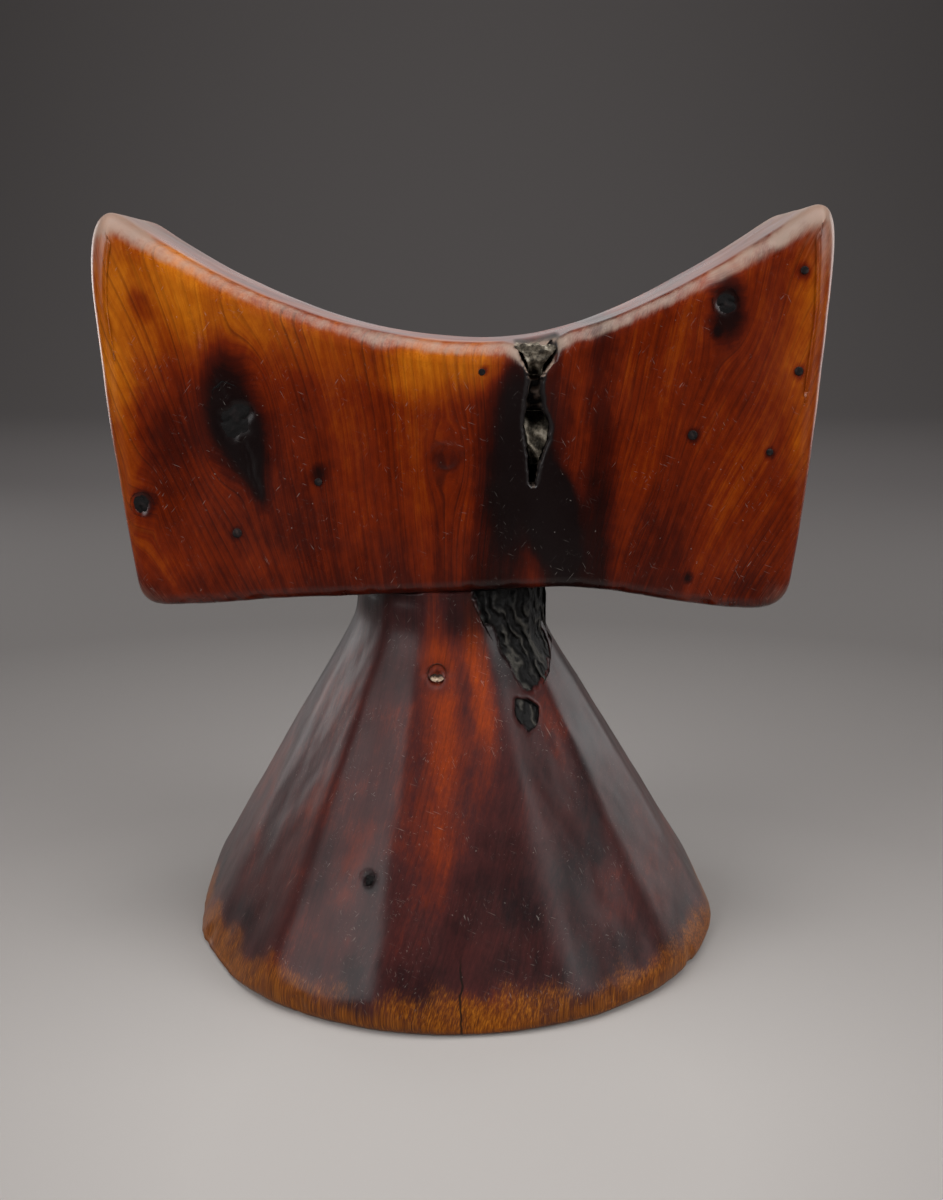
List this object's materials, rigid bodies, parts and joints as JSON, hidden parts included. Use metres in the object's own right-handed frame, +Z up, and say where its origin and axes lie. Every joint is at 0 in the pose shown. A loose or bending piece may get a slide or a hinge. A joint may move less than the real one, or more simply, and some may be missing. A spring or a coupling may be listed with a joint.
{
  "type": "headrest",
  "caption": "Carved wooden headrest: a crescent neck rest with two raised horns on a faceted conical stem with a round foot.",
  "frame": {"origin": "on the floor, under the middle of the whole headrest's bounding box", "axes": "+X to the sleeper's right along the crescent, +Y from the front face to the back face, +Z up"},
  "size_m": [0.1653, 0.1335, 0.1766],
  "materials": {
    "polished_wood": "hand-polished, glossy, red-brown with orange and near-black stains",
    "dark_patina_wood": "glossy smoke-dark patina, worn orange at the rim",
    "dead_knot": "black encased knot, semi-gloss",
    "bark": "ingrown bark and grey-green residue, matt"
  },
  "bodies": {
    "root": {"neck_rest": "polished_wood", "pedestal": "dark_patina_wood", "left_dead_knot": "dead_knot", "right_dead_knot": "dead_knot", "edge_knot": "dead_knot", "pin_knots": "dead_knot", "crown_bark": "bark", "crevice_bark": "bark", "stem_bark": "bark", "lower_stem_bark": "bark", "stem_upper_knot": "dead_knot", "stem_lower_knot": "dead_knot"}
  },
  "joints": []
}
